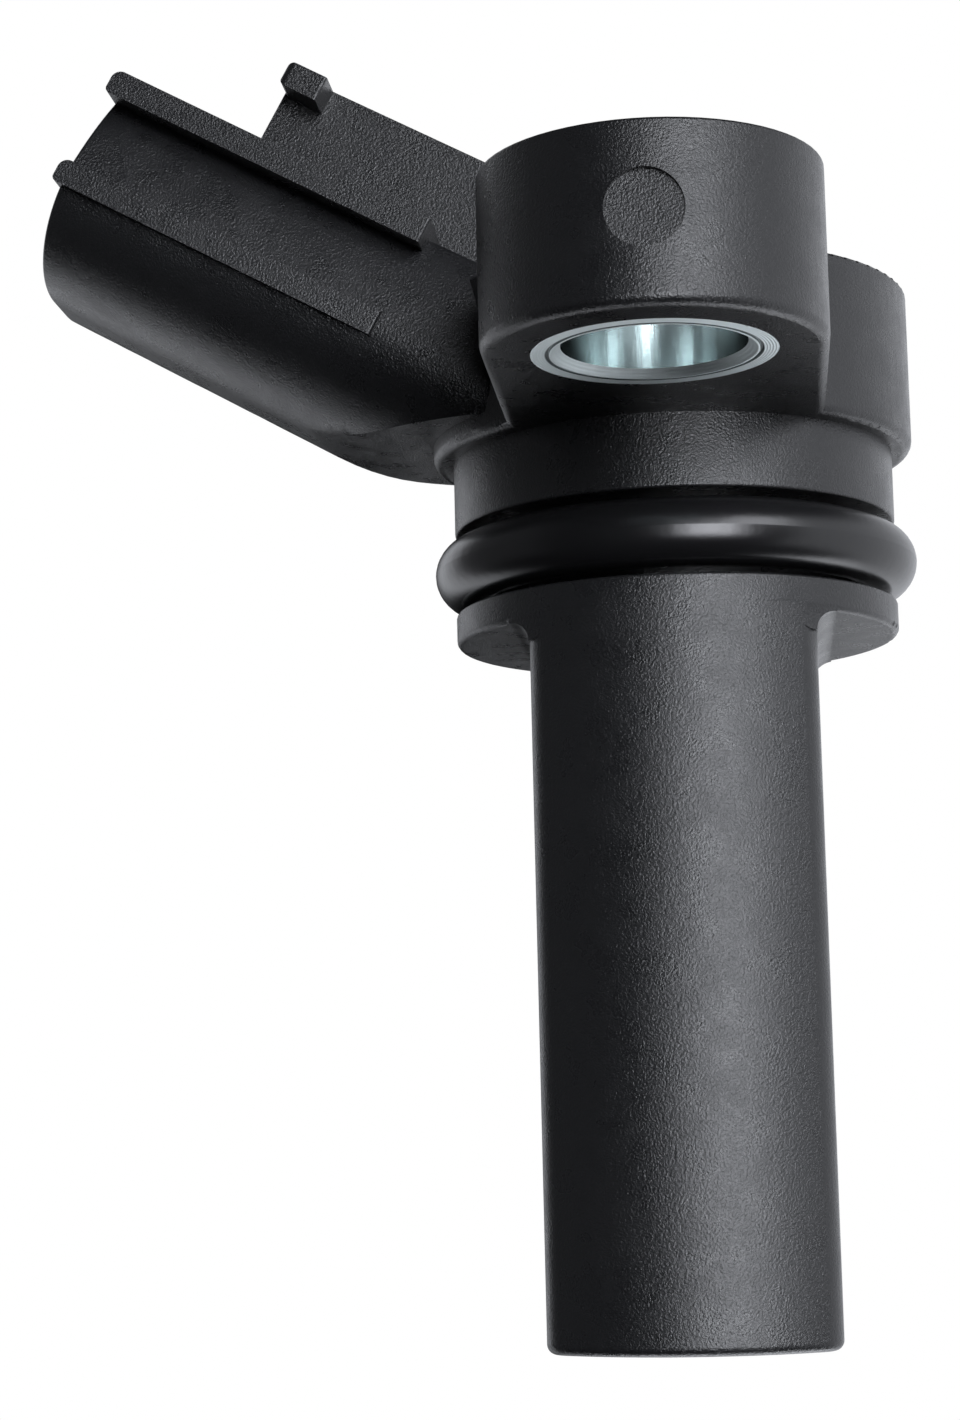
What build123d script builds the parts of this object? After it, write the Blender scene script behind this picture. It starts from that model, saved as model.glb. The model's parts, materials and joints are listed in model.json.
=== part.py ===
from build123d import *
import math
import os

# Camshaft position sensor, in millimetres. The origin is where the collar's axis crosses the
# mounting face. The probe points down (-Z), the bolt ear points to -Y and the connector
# slopes up towards -X.

# Head and ear
head_radius = 9.6
head_height = 6.33
head_top_edge = 0.12
head_bottom_edge = 0.4
ear_reach = 17.3
ear_radius = 6.05
mark_radius = 1.35
mark_depth = 0.25
mark_height = 3.3

# Steel bush in the ear
bush_outer_radius = 4.3
bush_bore_radius = 3.25
bush_chamfer = 0.3
bush_ring_gap = 0.1
bush_ring_width = 0.12
bush_ring_depth = 0.1

# Collar, groove and lower ring
collar_radius = 8.8
groove_top = -2.87
groove_width = 3.23
groove_floor_radius = 6.95
ring_bottom = -7.35
groove_edge = 0.12
ring_edge = 0.25

# O-ring
seal_section_radius = 1.33
seal_level = -4.47

# Probe: the collar's round section cut flat on both sides
probe_half_width = 5.43
probe_corner = 1.3
probe_inset = 0.02
probe_tip = -34.64
probe_edge = 0.38
probe_flare = 0.8

# Connector shroud: an oval tube on a sloping axis, with sides that lean in towards its roof
slope_deg = 29.0
shroud_mouth = 25.8
shroud_draft = 0.55
shroud_half_width = 6.76
shroud_level = -1.25
shroud_bottom = -5.46
shroud_flat = 2.2
shroud_side_radius = 9.4
shroud_roof_half_width = 5.42
shroud_shoulder = 0.4
shroud_wall = 1.3
socket_depth = 12.3
mouth_edge = 0.12
relief_height = 0.8
relief_radius = 8.0

# Rails on both sides of the shroud
rail_span = 14.2
rail_start = 11.8
upper_rail_overhang = 0.12
lower_rail_overhang = 0.3
rail_thickness = 1.0
upper_rail_level = 2.62
lower_rail_level = -1.475
rail_nose = 0.42
rail_chin = 0.2
rail_heel = 0.12

# Latch wall and its catch
wall_width = 2.8
wall_root = 2.0
wall_top = 7.45
wall_setback = 4.62
wall_back_top = 11.6
wall_back_root = 6.6
catch_width = 6.2
catch_length = 1.78
catch_height = 1.05
catch_front_edge = 0.35
catch_back_edge = 0.1

# Carrier and cover in the probe
tip_wall = 1.15
probe_wall = 1.05
carrier_top = -7.8
cover_depth = 2.13
channel_depth = 0.25
channel_width = 3.6
channel_top = -22.8
pocket_depth = 1.3
pocket_bottom = -26.5

# Sensing stack behind the tip
stack_width = 4.1
stack_depth = 3.0
stack_setback = 0.95
stack_gap = 0.05
chip_thickness = 1.5
chip_bevel = 0.3
plate_thickness = 0.6
magnet_length = 4.0

# Chip leads and conductors
pin_pitch = 1.27
lead_width = 0.4
lead_thickness = 0.25
lead_radius = 0.35
lead_top = -23.0
strip_width = 0.7
strip_thickness = 0.4
strip_radius = 1.0
strip_bottom = -25.5
fan_radius = 0.4
fan_margin = 0.4
strip_lead_in = 0.84

# Connector blades
blade_pitch = 3.0
blade_width = 1.2
blade_thickness = 0.63
blade_start = 4.5
blade_setback = 4.3
blade_point = 0.2
lap_end = 8.0

# Comb round the conductors
comb_cover = 0.75
comb_foot_margin = 0.3
comb_side_margin = 0.6
comb_side_low = -2.6
comb_top = -0.5
comb_arm_below = 1.5
comb_arm_above = 1.0
comb_arm_end = 9.6

# Chip capacitors across the conductors
capacitor_length = 1.6
capacitor_width = 0.8
capacitor_height = 0.6
termination_length = 0.3
solder_height = 0.1
capacitor_1_level = -14.5
capacitor_2_level = -18.5

slope = math.radians(slope_deg)
along_x = -math.cos(slope)
along_z = math.sin(slope)
draft_rise = math.tan(math.radians(shroud_draft))
carrier_radius = probe_half_width - probe_wall
carrier_bottom = probe_tip + tip_wall
carrier_flat = cover_depth - carrier_radius
socket_floor = shroud_mouth - socket_depth
blade_end = shroud_mouth - blade_setback
wall_front = shroud_mouth - wall_setback
groove_bottom = groove_top - groove_width
chip_face = carrier_flat + stack_setback
stack_x = chip_face + stack_depth / 2
strip_x = carrier_flat - strip_thickness / 2
strip_level = shroud_level - blade_thickness / 2 - strip_thickness / 2
comb_foot_half = pin_pitch + strip_width / 2 + comb_foot_margin
comb_half_width = blade_pitch + blade_width / 2 + comb_side_margin
pins = (-1, 0, 1)

# Across the connector: local x runs to -Y, local y runs up the section
across = Plane(origin=(0, 0, 0), x_dir=(0, -1, 0), z_dir=(along_x, 0, along_z))
# Along the connector: local x runs to the mouth, local y runs up the section
lengthwise = Plane(origin=(0, 0, 0), x_dir=(along_x, 0, along_z), z_dir=(0, 1, 0))
mouth_axis = Axis((0, 0, 0), (along_x, 0, along_z))
section_axis = Axis((0, 0, 0), (along_z, 0, -along_x))


def on_slope(distance, level):
    """X and Z of the point at a distance along the connector and a level across it."""
    return (
        along_x * distance + along_z * level,
        along_z * distance - along_x * level,
    )


def shroud_section(inset):
    """Section of the shroud, drawn this far inside its outer surface."""
    bottom_corner = (shroud_flat / 2, shroud_bottom + inset)
    roof_corner = (shroud_roof_half_width - inset, upper_rail_level - inset)
    with BuildSketch() as section:
        with BuildLine():
            Line((0, shroud_bottom + inset), bottom_corner)
            lower_side = EllipticalCenterArc(
                (shroud_flat / 2, shroud_level),
                shroud_half_width - shroud_flat / 2 - inset,
                shroud_level - shroud_bottom - inset,
                start_angle=-90,
                arc_size=90,
            )
            RadiusArc(lower_side @ 1, roof_corner, -shroud_side_radius)
            Line(roof_corner, (0, upper_rail_level - inset))
            mirror(about=Plane.YZ)
        make_face()
        fillet(section.vertices().group_by(Axis.Y)[-1], shroud_shoulder)
    return section.sketch


# Steel bush: chamfered bore with a fine ring line round it on both end faces
with BuildPart() as compression_limiter:
    with BuildSketch(Plane.XY):
        with Locations((0, -ear_reach)):
            Circle(bush_outer_radius)
            Circle(bush_bore_radius, mode=Mode.SUBTRACT)
    extrude(amount=head_height)
    bore_edges = compression_limiter.edges().filter_by(GeomType.CIRCLE).sort_by(SortBy.RADIUS)[:2]
    chamfer(bore_edges, length=bush_chamfer)
    ring_inner = bush_bore_radius + bush_chamfer + bush_ring_gap
    for level in (0, head_height - bush_ring_depth):
        with BuildSketch(Plane.XY.offset(level)):
            with Locations((0, -ear_reach)):
                Circle(ring_inner + bush_ring_width)
                Circle(ring_inner, mode=Mode.SUBTRACT)
        extrude(amount=bush_ring_depth, mode=Mode.SUBTRACT)

# Comb that holds the conductors apart: an upright plate and a sloping arm
with BuildPart() as comb_block:
    with BuildSketch(Plane.YZ.offset(carrier_flat + comb_cover)):
        with BuildLine():
            Polyline(
                (-comb_foot_half, carrier_top),
                (comb_foot_half, carrier_top),
                (comb_half_width, comb_side_low),
                (comb_half_width, comb_top),
                (-comb_half_width, comb_top),
                (-comb_half_width, comb_side_low),
                close=True,
            )
        make_face()
    extrude(amount=-strip_thickness - 2 * comb_cover)
    with BuildSketch(across):
        with Locations((0, shroud_level - comb_arm_below)):
            Rectangle(
                2 * comb_half_width,
                comb_arm_below + comb_arm_above,
                align=(Align.CENTER, Align.MIN),
            )
    extrude(amount=comb_arm_end)

# Three conductors: straight in the probe, fanned out in the comb, bent into the connector
bend_corner = (strip_level * along_z - strip_x) / -along_x
bend_z = on_slope(bend_corner, strip_level)[1]
strip_join = bend_z - strip_lead_in
fan_top = strip_join - fan_margin
fan_bottom = carrier_top + fan_margin
strips = []
for pin in pins:
    low_y = pin * pin_pitch
    high_y = pin * blade_pitch
    with BuildPart() as strip:
        with BuildSketch(Plane.YZ.offset(carrier_flat - strip_thickness)):
            with BuildLine():
                if pin == 0:
                    Line((low_y, strip_bottom), (low_y, strip_join))
                else:
                    FilletPolyline(
                        (low_y, strip_bottom),
                        (low_y, fan_bottom),
                        (high_y, fan_top),
                        (high_y, strip_join),
                        radius=fan_radius,
                    )
            trace(line_width=strip_width)
        extrude(amount=strip_thickness)
        with BuildSketch(Plane.XZ.offset(-high_y - strip_width / 2)):
            with BuildLine():
                FilletPolyline(
                    (strip_x, strip_join),
                    on_slope(bend_corner, strip_level),
                    on_slope(lap_end, strip_level),
                    radius=strip_radius,
                )
            trace(line_width=strip_thickness)
        extrude(amount=strip_width)
    strips.append(strip)

blades = []
for pin in pins:
    with BuildPart() as blade:
        with BuildSketch(across.offset(blade_start)):
            with Locations((-pin * blade_pitch, shroud_level)):
                Rectangle(blade_width, blade_thickness)
        extrude(amount=blade_end - blade_start)
        chamfer(blade.faces().sort_by(mouth_axis)[-1].edges(), length=blade_point)
    blades.append(blade)

with BuildPart() as strip_holder:
    add(comb_block.part)
    for strip in strips:
        add(strip.part, mode=Mode.SUBTRACT)
    for blade in blades:
        add(blade.part, mode=Mode.SUBTRACT)

# Sensing stack: chip flat against the tip wall, then the steel plate, then the magnet
with BuildPart() as hall_ic:
    with BuildSketch(Plane.XY.offset(carrier_bottom)):
        with Locations((stack_x, 0)):
            Rectangle(stack_depth, stack_width)
    extrude(amount=chip_thickness)
    long_edges = hall_ic.edges().filter_by(Axis.Y).group_by(Axis.Z)[-1]
    chamfer(long_edges, length=chip_bevel)

with BuildPart() as pole_plate:
    with BuildSketch(Plane.XY.offset(carrier_bottom + chip_thickness)):
        with Locations((stack_x, 0)):
            Rectangle(stack_depth, stack_width)
    extrude(amount=plate_thickness)

with BuildPart() as bias_magnet:
    with BuildSketch(Plane.XY.offset(carrier_bottom + chip_thickness + plate_thickness)):
        with Locations((stack_x, 0)):
            Rectangle(stack_depth, stack_width)
    extrude(amount=magnet_length)

lead_x = carrier_flat + channel_depth / 2
lead_z = carrier_bottom + chip_thickness / 2
leads = []
for pin in pins:
    with BuildPart() as lead:
        with BuildSketch(Plane.XZ.offset(-pin * pin_pitch - lead_width / 2)):
            with BuildLine():
                FilletPolyline(
                    (chip_face, lead_z),
                    (lead_x, lead_z),
                    (lead_x, lead_top),
                    radius=lead_radius,
                )
            trace(line_width=lead_thickness)
        extrude(amount=lead_width)
    leads.append(lead)

# Capacitors bridge neighbouring conductors; their ends stand on solder
capacitor_places = (
    (-pin_pitch / 2, capacitor_1_level),
    (pin_pitch / 2, capacitor_2_level),
)
capacitors = []
for place in capacitor_places:
    with BuildPart() as capacitor:
        with BuildSketch(Plane.YZ.offset(carrier_flat - strip_thickness - solder_height)):
            with Locations(place):
                Rectangle(capacitor_length - 2 * termination_length, capacitor_width)
        extrude(amount=-capacitor_height)
    capacitors.append(capacitor)

end_offset = (capacitor_length - termination_length) / 2
end_places = [
    (middle + side * end_offset, level)
    for middle, level in capacitor_places
    for side in (-1, 1)
]
with BuildPart() as chip_terminations:
    with BuildSketch(Plane.YZ.offset(carrier_flat - strip_thickness - solder_height)):
        with Locations(*end_places):
            Rectangle(termination_length, capacitor_width)
    extrude(amount=-capacitor_height)

with BuildPart() as solder_joints:
    with BuildSketch(Plane.YZ.offset(carrier_flat - strip_thickness)):
        with Locations(*end_places):
            Rectangle(termination_length, capacitor_width)
    extrude(amount=-solder_height)

# Carrier rod with the well at the tip, the flat for the conductors and the leads' channel
with BuildPart() as sensor_carrier:
    with BuildSketch(Plane.XY.offset(carrier_bottom)):
        Circle(carrier_radius)
        with Locations((carrier_flat - carrier_radius, 0)):
            Rectangle(2 * carrier_radius, 2 * carrier_radius, mode=Mode.SUBTRACT)
    extrude(amount=carrier_top - carrier_bottom)
    with BuildSketch(Plane.XY.offset(carrier_bottom)):
        with Locations((stack_x, 0)):
            Rectangle(stack_depth + 2 * stack_gap, stack_width + 2 * stack_gap)
    extrude(amount=chip_thickness + plate_thickness + magnet_length, mode=Mode.SUBTRACT)
    with BuildSketch(Plane.XY.offset(carrier_bottom)):
        with Locations(((carrier_flat + stack_x) / 2, 0)):
            Rectangle(stack_x - carrier_flat, channel_width)
    extrude(amount=chip_thickness, mode=Mode.SUBTRACT)
    with BuildSketch(Plane.XY.offset(carrier_bottom)):
        with Locations((lead_x, 0)):
            Rectangle(channel_depth, channel_width)
    extrude(amount=channel_top - carrier_bottom, mode=Mode.SUBTRACT)

with BuildPart() as carrier_cover:
    with BuildSketch(Plane.XY.offset(carrier_bottom)):
        Circle(carrier_radius)
        with Locations((carrier_flat + carrier_radius, 0)):
            Rectangle(2 * carrier_radius, 2 * carrier_radius, mode=Mode.SUBTRACT)
    extrude(amount=carrier_top - carrier_bottom)
    with BuildSketch(Plane.XY.offset(pocket_bottom)):
        with Locations((carrier_flat - pocket_depth / 2, 0)):
            Rectangle(pocket_depth, channel_width)
    extrude(amount=carrier_top - pocket_bottom, mode=Mode.SUBTRACT)

# Probe with flat sides that flare into the lower ring, kept within the collar's outline
ring_middle = (groove_bottom + ring_bottom) / 2
with BuildPart() as probe_outside:
    with BuildSketch(Plane.XZ):
        with BuildLine():
            Polyline(
                (0, probe_tip),
                (0, ring_middle),
                (probe_half_width + probe_flare, ring_middle),
                (probe_half_width + probe_flare, ring_bottom),
            )
            RadiusArc(
                (probe_half_width + probe_flare, ring_bottom),
                (probe_half_width, ring_bottom - probe_flare),
                probe_flare,
            )
            Polyline(
                (probe_half_width, ring_bottom - probe_flare),
                (probe_half_width, probe_tip),
                (0, probe_tip),
            )
        make_face()
        mirror(about=Plane.YZ)
    extrude(amount=collar_radius, both=True)
    with BuildSketch(Plane.XY.offset(probe_tip)):
        Circle(collar_radius - probe_inset)
    extrude(amount=-probe_tip, mode=Mode.INTERSECT)
    corners = probe_outside.edges().filter_by(Axis.Z).group_by(SortBy.LENGTH)[-1]
    fillet(corners, probe_corner)
    fillet(probe_outside.faces().sort_by(Axis.Z)[0].edges(), probe_edge)

with BuildPart() as collar_outside:
    with BuildSketch(Plane.XZ):
        with BuildLine():
            Polyline(
                (0, head_height / 2),
                (collar_radius, head_height / 2),
                (collar_radius, groove_top),
                (groove_floor_radius, groove_top),
                (groove_floor_radius, groove_bottom),
                (collar_radius, groove_bottom),
                (collar_radius, ring_bottom),
                (0, ring_bottom),
                close=True,
            )
        make_face()
        rim_corners = vertices().group_by(Axis.X)[-1].sort_by(Axis.Y)
        fillet(rim_corners[1:3], groove_edge)
        fillet(vertices().group_by(Axis.X)[-1].sort_by(Axis.Y)[0], ring_edge)
    revolve(axis=Axis.Z)

with BuildPart() as shroud_outside:
    with BuildSketch(across):
        add(shroud_section(-shroud_mouth * draft_rise))
    with BuildSketch(across.offset(shroud_mouth)):
        add(shroud_section(0))
    loft(ruled=True)
    fillet(shroud_outside.faces().sort_by(mouth_axis)[-1].edges(), mouth_edge)
    root_x, root_z = on_slope(0, shroud_bottom - shroud_mouth * draft_rise)
    far_x, far_z = on_slope(shroud_mouth, shroud_bottom)
    relief_x = root_x + (relief_height - root_z) * (far_x - root_x) / (far_z - root_z)
    with BuildSketch(Plane.XZ):
        with BuildLine():
            FilletPolyline(
                (head_radius, relief_height),
                (relief_x, relief_height),
                (far_x, far_z),
                radius=relief_radius,
            )
            Polyline(
                (far_x, far_z),
                (far_x, -collar_radius),
                (head_radius, -collar_radius),
                (head_radius, relief_height),
            )
        make_face()
    extrude(amount=rail_span / 2, both=True, mode=Mode.SUBTRACT)

rails = []
for level, overhang in (
    (upper_rail_level, upper_rail_overhang),
    (lower_rail_level, lower_rail_overhang),
):
    rail_length = shroud_mouth + overhang - rail_start
    with BuildPart() as rail:
        with BuildSketch(across.offset(rail_start)):
            with Locations((0, level)):
                Rectangle(rail_span, rail_thickness)
        extrude(amount=rail_length)
        nose_edges = rail.edges().filter_by(Axis.Y).group_by(mouth_axis)[-1].sort_by(Axis.Z)
        fillet(nose_edges[0], rail_chin)
        fillet(nose_edges[1], rail_nose)
        fillet(rail.edges().filter_by(section_axis).group_by(mouth_axis)[0], rail_heel)
    rails.append(rail)

# Wall on the shroud with a catch that stands out on both sides
with BuildPart() as latch_wall:
    with BuildSketch(lengthwise):
        with BuildLine():
            Polyline(
                (wall_front, wall_root),
                (wall_front, wall_top),
                (wall_back_top, wall_top + (wall_front - wall_back_top) * draft_rise),
                (wall_back_root, wall_root),
                close=True,
            )
        make_face()
    extrude(amount=wall_width / 2, both=True)

with BuildPart() as catch:
    with BuildSketch(lengthwise):
        with Locations((wall_front, wall_top)):
            Rectangle(catch_length, catch_height, align=(Align.MAX, Align.MAX))
    extrude(amount=catch_width / 2, both=True)
    fillet(catch.faces().sort_by(mouth_axis)[-1].edges(), catch_front_edge)
    fillet(catch.edges().filter_by(section_axis).group_by(mouth_axis)[0], catch_back_edge)

with BuildPart() as housing:
    with BuildSketch(Plane.XY):
        Circle(head_radius)
        with Locations((0, -ear_reach / 2)):
            Rectangle(2 * ear_radius, ear_reach)
        with Locations((0, -ear_reach)):
            Circle(ear_radius)
    extrude(amount=head_height)
    fillet(housing.edges().group_by(Axis.Z)[0], head_bottom_edge)
    fillet(housing.edges().group_by(Axis.Z)[-1], head_top_edge)
    with BuildSketch(Plane.XZ.offset(ear_reach + ear_radius - mark_depth)):
        with Locations((0, mark_height)):
            Circle(mark_radius)
    extrude(amount=mark_radius, mode=Mode.SUBTRACT)
    add(collar_outside.part)
    add(probe_outside.part)
    add(shroud_outside.part)
    for rail in rails:
        add(rail.part)
    add(latch_wall.part)
    add(catch.part)
    with BuildSketch(across.offset(socket_floor)):
        add(shroud_section(shroud_wall))
    extrude(amount=socket_depth + lower_rail_overhang, mode=Mode.SUBTRACT)
    add(comb_block.part, mode=Mode.SUBTRACT)
    for blade in blades:
        add(blade.part, mode=Mode.SUBTRACT)
    with BuildSketch(Plane.XY.offset(carrier_bottom)):
        Circle(carrier_radius)
    extrude(amount=carrier_top - carrier_bottom, mode=Mode.SUBTRACT)
    with BuildSketch(Plane.XY):
        with Locations((0, -ear_reach)):
            Circle(bush_outer_radius)
    extrude(amount=head_height, mode=Mode.SUBTRACT)

with BuildPart() as o_ring:
    with BuildSketch(Plane.XZ):
        with Locations((groove_floor_radius + seal_section_radius, seal_level)):
            Circle(seal_section_radius)
    revolve(axis=Axis.Z)

pieces = {
    "housing": housing,
    "compression_limiter": compression_limiter,
    "o_ring": o_ring,
    "sensor_carrier": sensor_carrier,
    "carrier_cover": carrier_cover,
    "hall_ic": hall_ic,
    "pole_plate": pole_plate,
    "bias_magnet": bias_magnet,
    "strip_holder": strip_holder,
    "capacitor_1": capacitors[0],
    "capacitor_2": capacitors[1],
    "chip_terminations": chip_terminations,
    "solder_joints": solder_joints,
}
for number, (lead, strip, blade) in enumerate(zip(leads, strips, blades), start=1):
    pieces[f"ic_lead_{number}"] = lead
    pieces[f"lead_strip_{number}"] = strip
    pieces[f"terminal_blade_{number}"] = blade

os.makedirs("parts", exist_ok=True)
for name, piece in pieces.items():
    piece.part.label = name
    export_step(piece.part, f"parts/{name}.step")
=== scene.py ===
import json
import math

import bpy
from mathutils import Matrix, Vector

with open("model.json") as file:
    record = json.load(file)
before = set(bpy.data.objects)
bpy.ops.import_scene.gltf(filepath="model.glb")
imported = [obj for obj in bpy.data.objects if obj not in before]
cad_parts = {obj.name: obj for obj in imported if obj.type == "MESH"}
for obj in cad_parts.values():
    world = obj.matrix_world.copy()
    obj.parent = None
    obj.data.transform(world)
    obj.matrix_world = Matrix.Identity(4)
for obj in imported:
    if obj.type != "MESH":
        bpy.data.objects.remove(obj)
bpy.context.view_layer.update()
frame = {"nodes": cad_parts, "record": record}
nodes = frame["nodes"]
scene = bpy.context.scene
scene.view_settings.view_transform = "Standard"

MM = 0.001

# Sizes of the solids that the looks refer to, in millimetres
EAR_REACH = 17.3
BUSH_EDGE_SHADOW_RADIUS = 3.72
PROBE_HALF_WIDTH = 5.43
PROBE_FLARE = 0.8
RING_BOTTOM = -7.35

# The cutters stay this far off the solid's own edges and reach past both of its sides
CUTTER_GAP = 0.004
CUTTER_LENGTH = 20.0
CREASE_ANGLE = 25.0

# Camera, from a fit of the photo's outlines: place in millimetres, angles in degrees
CAMERA_PLACE = (3.096, -114.256, -26.125)
CAMERA_HEADING = 5.5447
CAMERA_PITCH = 8.119
CAMERA_ROLL = -1.2673
FOCAL_LENGTH_PIXELS = 2886.2
PICTURE_HEIGHT_PIXELS = 1420.0
SENSOR_SIZE = 36.0

# Floor, well below the probe's tip, in metres
FLOOR_LEVEL = -0.09
FLOOR_SIZE = 4.0

WHITE = (1.0, 1.0, 1.0, 1.0)
LIGHT_TINT = (0.965, 0.99, 1.05, 1.0)
ZINC = (0.74, 0.8, 0.8, 1.0)
# Dark zinc for the painted shadow ring on the bush's end faces, where shade falls at the edge of the
# chamfer
SHADED_ZINC = (0.08, 0.09, 0.09, 1.0)


class Tree:
    """Small helper that adds linked nodes to one node tree."""

    def __init__(self, tree):
        self.tree = tree

    def node(self, kind, inputs=None, **settings):
        made = self.tree.nodes.new(kind)
        for name, value in settings.items():
            setattr(made, name, value)
        for key, value in (inputs or {}).items():
            self.feed(made.inputs[key], value)
        return made

    def feed(self, socket, value):
        if isinstance(value, bpy.types.NodeSocket):
            self.tree.links.new(value, socket)
        else:
            socket.default_value = value

    def math(self, operation, a, b=0.0):
        return self.node("ShaderNodeMath", {0: a, 1: b}, operation=operation).outputs[0]

    def vector(self, operation, a, b=(0.0, 0.0, 0.0)):
        return self.node("ShaderNodeVectorMath", {0: a, 1: tuple(b)}, operation=operation)

    def dot(self, vector, direction):
        return self.vector("DOT_PRODUCT", vector, direction).outputs["Value"]

    def ramp(self, value, low_edge, high_edge, low=0.0, high=1.0):
        made = self.node(
            "ShaderNodeMapRange",
            {"Value": value, "From Min": low_edge, "From Max": high_edge, "To Min": low, "To Max": high},
            interpolation_type="SMOOTHSTEP",
        )
        return made.outputs["Result"]

    def noise(self, vector, scale, detail=2.0, roughness=0.5):
        made = self.node(
            "ShaderNodeTexNoise",
            {"Vector": vector, "Scale": scale, "Detail": detail, "Roughness": roughness},
        )
        return made.outputs[0]

    def bump(self, height, strength, distance):
        made = self.node("ShaderNodeBump", {"Strength": strength, "Distance": distance, "Height": height})
        return made.outputs[0]

    def blend(self, factor, first, second):
        """Colour between two others."""
        made = self.node("ShaderNodeMix", {"Factor": factor, 6: first, 7: second}, data_type="RGBA")
        return made.outputs[2]


def new_material(name):
    material = bpy.data.materials.new(name)
    material.use_nodes = True
    tree = Tree(material.node_tree)
    shader = material.node_tree.nodes["Principled BSDF"]
    place = tree.node("ShaderNodeTexCoord").outputs["Object"]
    return material, tree, shader, place


def set_shader(shader, **values):
    for name, value in values.items():
        shader.inputs[name.replace("_", " ")].default_value = value


def moulded_plastic():
    """Near-black glass-filled plastic with a fine spark-eroded grain."""
    material, tree, shader, place = new_material("moulded plastic")
    grain = tree.noise(place, scale=11000.0, detail=2.0, roughness=0.7)
    mottle = tree.noise(place, scale=700.0, detail=3.0, roughness=0.6)
    tree.feed(shader.inputs["Normal"], tree.bump(grain, strength=0.62, distance=0.05 * MM))
    tree.feed(shader.inputs["Roughness"], tree.ramp(mottle, 0.25, 0.75, low=0.24, high=0.36))
    set_shader(shader, Base_Color=(0.015, 0.0152, 0.0162, 1.0), Specular_IOR_Level=0.5)
    return material


def rubber():
    """Smooth black rubber with a soft gloss."""
    material, tree, shader, place = new_material("seal rubber")
    pattern = tree.noise(place, scale=2600.0, detail=2.0)
    tree.feed(shader.inputs["Normal"], tree.bump(pattern, strength=0.2, distance=0.03 * MM))
    set_shader(shader, Base_Color=(0.011, 0.011, 0.0118, 1.0), Roughness=0.27)
    return material


def plated_steel():
    """Bright zinc plating: a smooth bore, and end faces with the fine rings of a turned surface and a
    painted shadow ring at the edge of the bore's chamfer.
    """
    material, tree, shader, place = new_material("zinc plated steel")
    facing = tree.node("ShaderNodeTexCoord").outputs["Normal"]
    endwise = tree.math("ABSOLUTE", tree.dot(facing, (0, 0, 1)))
    face = tree.ramp(endwise, 0.4, 0.65)
    from_axis = tree.vector("SUBTRACT", place, (0, -EAR_REACH * MM, 0)).outputs[0]
    level = tree.vector("MULTIPLY", from_axis, (1, 1, 0)).outputs[0]
    radius = tree.vector("LENGTH", level).outputs["Value"]

    turned_rings = tree.math("SINE", tree.math("MULTIPLY", radius, 60000.0))
    turned = tree.math("MULTIPLY", turned_rings, face)
    drawn_out = tree.node("ShaderNodeMapping", {"Vector": place, "Scale": (1.0, 1.0, 0.12)}).outputs[0]
    scratches = tree.math("MULTIPLY", tree.noise(drawn_out, scale=2200.0, detail=3.0, roughness=0.6), 2.0)
    relief = tree.math("ADD", turned, scratches)
    tree.feed(shader.inputs["Normal"], tree.bump(relief, strength=0.25, distance=0.02 * MM))
    tree.feed(shader.inputs["Roughness"], tree.ramp(face, 0.0, 1.0, low=0.16, high=0.62))

    # Painted shadow: a thin dark ring on the end faces only, standing in for the shade at the edge of the
    # bore's chamfer
    off_edge_shadow = tree.math("ABSOLUTE", tree.math("SUBTRACT", radius, BUSH_EDGE_SHADOW_RADIUS * MM))
    edge_shadow = tree.math("MULTIPLY", tree.ramp(off_edge_shadow, 0.04 * MM, 0.1 * MM, low=0.85, high=0.0), face)
    tree.feed(shader.inputs["Base Color"], tree.blend(edge_shadow, ZINC, SHADED_ZINC))
    set_shader(shader, Metallic=1.0)
    return material


def simple(name, color, roughness, metallic=0.0):
    """One colour with a fine uneven surface, for the pieces inside."""
    material, tree, shader, place = new_material(name)
    pattern = tree.noise(place, scale=2500.0, detail=3.0)
    tree.feed(shader.inputs["Normal"], tree.bump(pattern, strength=0.3, distance=0.02 * MM))
    uneven = tree.ramp(pattern, 0.3, 0.7, low=roughness * 0.85, high=roughness * 1.15)
    tree.feed(shader.inputs["Roughness"], uneven)
    set_shader(shader, Base_Color=(*color, 1.0), Metallic=metallic)
    return material


looks = {
    "housing": moulded_plastic(),
    "bush_steel": plated_steel(),
    "seal_rubber": rubber(),
    "carrier": simple("carrier plastic", (0.03, 0.03, 0.033), 0.5),
    "cover": simple("cover plastic", (0.06, 0.06, 0.065), 0.5),
    "chip_body": simple("chip epoxy", (0.015, 0.015, 0.015), 0.6),
    "tinned": simple("tinned copper", (0.74, 0.73, 0.7), 0.3, 1.0),
    "plate_steel": simple("ground steel", (0.5, 0.5, 0.5), 0.35, 1.0),
    "magnet": simple("nickel plate", (0.6, 0.58, 0.52), 0.28, 1.0),
    "holder": simple("holder plastic", (0.04, 0.04, 0.04), 0.5),
    "brass_strip": simple("stamped brass", (0.76, 0.58, 0.28), 0.28, 1.0),
    "blade_tin": simple("tinned brass", (0.74, 0.72, 0.66), 0.25, 1.0),
    "capacitor_body": simple("fired ceramic", (0.5, 0.4, 0.28), 0.45),
    "solder": simple("solder", (0.66, 0.67, 0.68), 0.25, 1.0),
}
slots = {part["node"]: part["material_slot"] for part in frame["record"]["subparts"]}
for name, piece in nodes.items():
    piece.data.materials.clear()
    piece.data.materials.append(looks[slots[name]])

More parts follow.
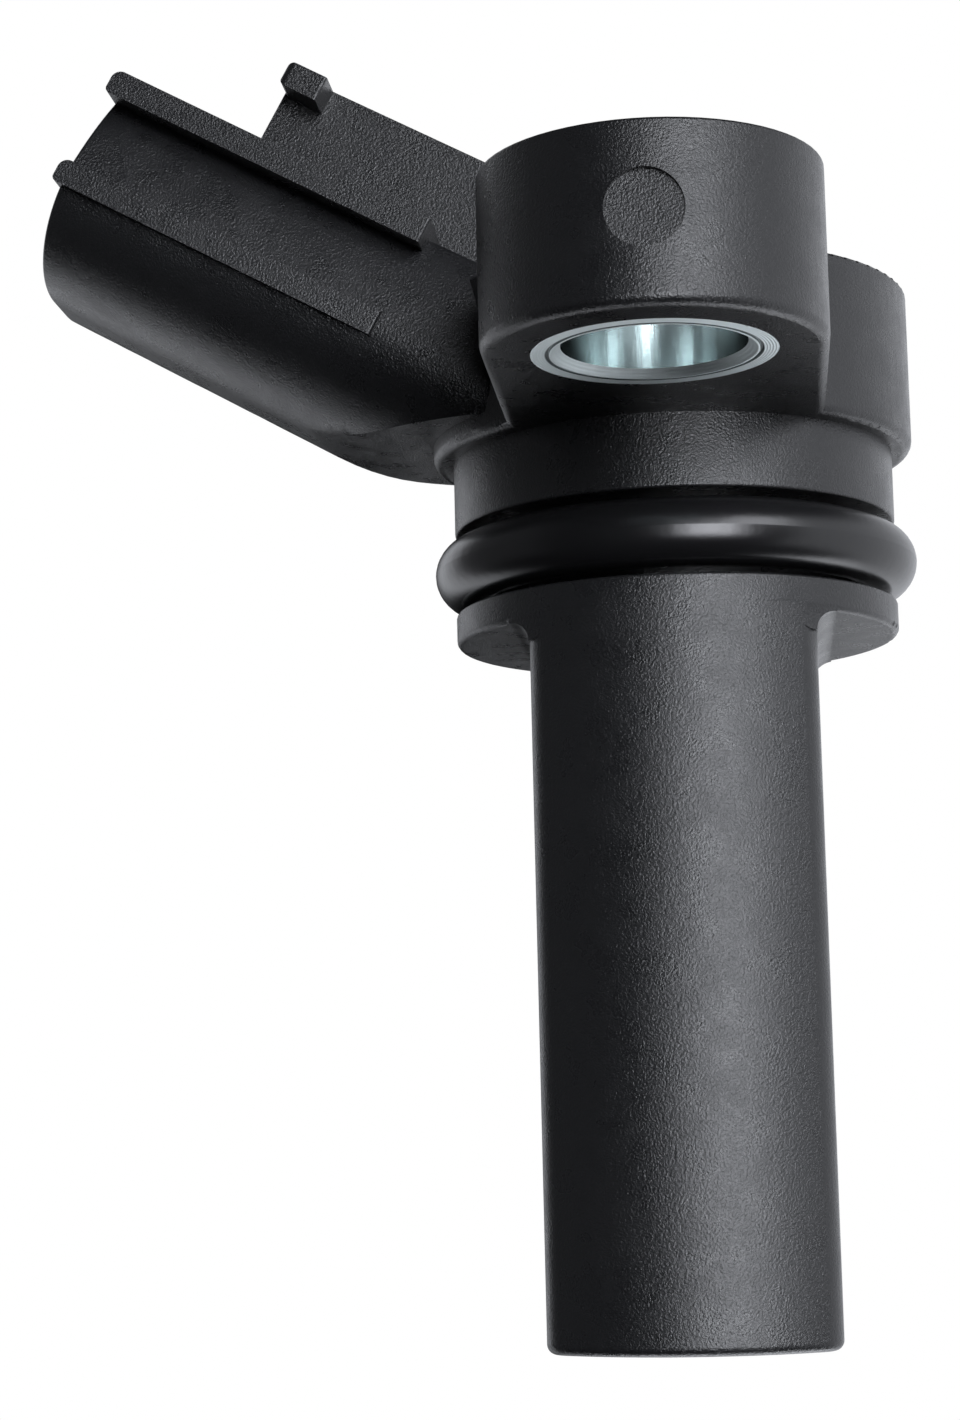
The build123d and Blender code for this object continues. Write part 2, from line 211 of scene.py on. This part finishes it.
# The probe's flat sides run into the ring with a hollow curve, cut here from the solid's rounded one
housing = nodes["housing"]
for side in (-1, 1):
    middle = Vector((side * (PROBE_HALF_WIDTH + PROBE_FLARE), 0, RING_BOTTOM - PROBE_FLARE)) * MM
    bpy.ops.mesh.primitive_cylinder_add(
        vertices=128,
        radius=(PROBE_FLARE - CUTTER_GAP) * MM,
        depth=CUTTER_LENGTH * MM,
        location=middle,
        rotation=(math.pi / 2, 0, 0),
    )
    cutter = bpy.context.object
    cutter.name = f"flare cutter {side}"
    cutter.hide_render = True
    cutter.hide_set(True)
    hollow = housing.modifiers.new("hollow", "BOOLEAN")
    hollow.operation = "DIFFERENCE"
    hollow.object = cutter

# The cut drops the loaded normals, so edges are creased again and flat faces kept evenly shaded
creases = housing.modifiers.new("creases", "EDGE_SPLIT")
creases.split_angle = math.radians(CREASE_ANGLE)
even = housing.modifiers.new("even normals", "WEIGHTED_NORMAL")
even.keep_sharp = True

# Camera at the photo's place
camera = bpy.data.objects.new("camera", bpy.data.cameras.new("camera"))
scene.collection.objects.link(camera)
heading = Matrix.Rotation(math.radians(CAMERA_HEADING), 4, "Z")
pitch = Matrix.Rotation(math.radians(90.0 + CAMERA_PITCH), 4, "X")
roll = Matrix.Rotation(math.radians(CAMERA_ROLL), 4, "Z")
camera.matrix_world = Matrix.Translation(Vector(CAMERA_PLACE) * MM) @ heading @ pitch @ roll
camera.data.sensor_width = SENSOR_SIZE
camera.data.lens = SENSOR_SIZE * FOCAL_LENGTH_PIXELS / PICTURE_HEIGHT_PIXELS
camera.data.clip_start = 0.001
camera.data.clip_end = 10.0
scene.camera = camera

# World: soft studio windows, plain white where the camera sees it
world = bpy.data.worlds.new("studio")
scene.world = world
world.use_nodes = True
sky = Tree(world.node_tree)
direction = sky.node("ShaderNodeTexCoord").outputs["Generated"]
height = sky.math("ARCSINE", sky.dot(direction, (0, 0, 1)))


def window(strength, azimuth, half_width, softness, lowest, highest, edge):
    """Light from a range of angles round the object and of heights, in degrees, with soft edges.

    Azimuth 0 is on the camera's side, and it grows towards the object's right side.
    """
    turn = math.radians(azimuth)
    ahead = sky.dot(direction, (math.sin(turn), -math.cos(turn), 0))
    aside = sky.dot(direction, (math.cos(turn), math.sin(turn), 0))
    away = sky.math("ABSOLUTE", sky.math("ARCTAN2", aside, ahead))
    near, far = math.radians(half_width - softness), math.radians(half_width + softness)
    light = sky.ramp(away, near, far, low=strength, high=0.0)
    rise = sky.ramp(height, math.radians(lowest - edge), math.radians(lowest + edge))
    fall = sky.ramp(height, math.radians(highest - edge), math.radians(highest + edge), low=1.0, high=0.0)
    return sky.math("MULTIPLY", light, sky.math("MULTIPLY", rise, fall))


lights = [
    window(11.6, azimuth=19, half_width=12.5, softness=4, lowest=-24, highest=18, edge=8),
    window(6.0, azimuth=43, half_width=15, softness=8, lowest=12, highest=35, edge=7),
    window(1.06, azimuth=119, half_width=59, softness=6, lowest=-41, highest=37, edge=13),
    window(1.33, azimuth=-139, half_width=14, softness=7, lowest=-45, highest=36, edge=10),
    window(0.16, azimuth=-95, half_width=30, softness=12, lowest=-30, highest=40, edge=14),
    window(4.6, azimuth=165, half_width=40, softness=15, lowest=-78, highest=-42, edge=10),
]
total = 0.0
for light in lights:
    total = sky.math("ADD", light, total)
seen = sky.node("ShaderNodeLightPath").outputs["Is Camera Ray"]
shown = sky.node("ShaderNodeMix", {"Factor": seen, 2: total, 3: 1.0}, data_type="FLOAT")
background = world.node_tree.nodes["Background"]
sky.feed(background.inputs["Color"], sky.blend(seen, LIGHT_TINT, WHITE))
sky.feed(background.inputs["Strength"], shown.outputs[0])

# Plain floor: white to the camera, and no obstacle to the light from below
bpy.ops.mesh.primitive_plane_add(size=FLOOR_SIZE, location=(0, 0, FLOOR_LEVEL))
floor = bpy.context.object
floor.name = "floor"
floor.visible_diffuse = False
floor.visible_glossy = False
floor_look, floor_tree, floor_shader, _ = new_material("floor")
set_shader(floor_shader, Base_Color=(0.8, 0.8, 0.8, 1.0), Roughness=0.9)
glow = floor_tree.node("ShaderNodeEmission", {"Color": WHITE, "Strength": 1.0})
floor_seen = floor_tree.node("ShaderNodeLightPath").outputs["Is Camera Ray"]
floor_blend = floor_tree.node(
    "ShaderNodeMixShader", {0: floor_seen, 1: floor_shader.outputs[0], 2: glow.outputs[0]}
)
floor_tree.feed(floor_look.node_tree.nodes["Material Output"].inputs["Surface"], floor_blend.outputs[0])
floor.data.materials.append(floor_look)
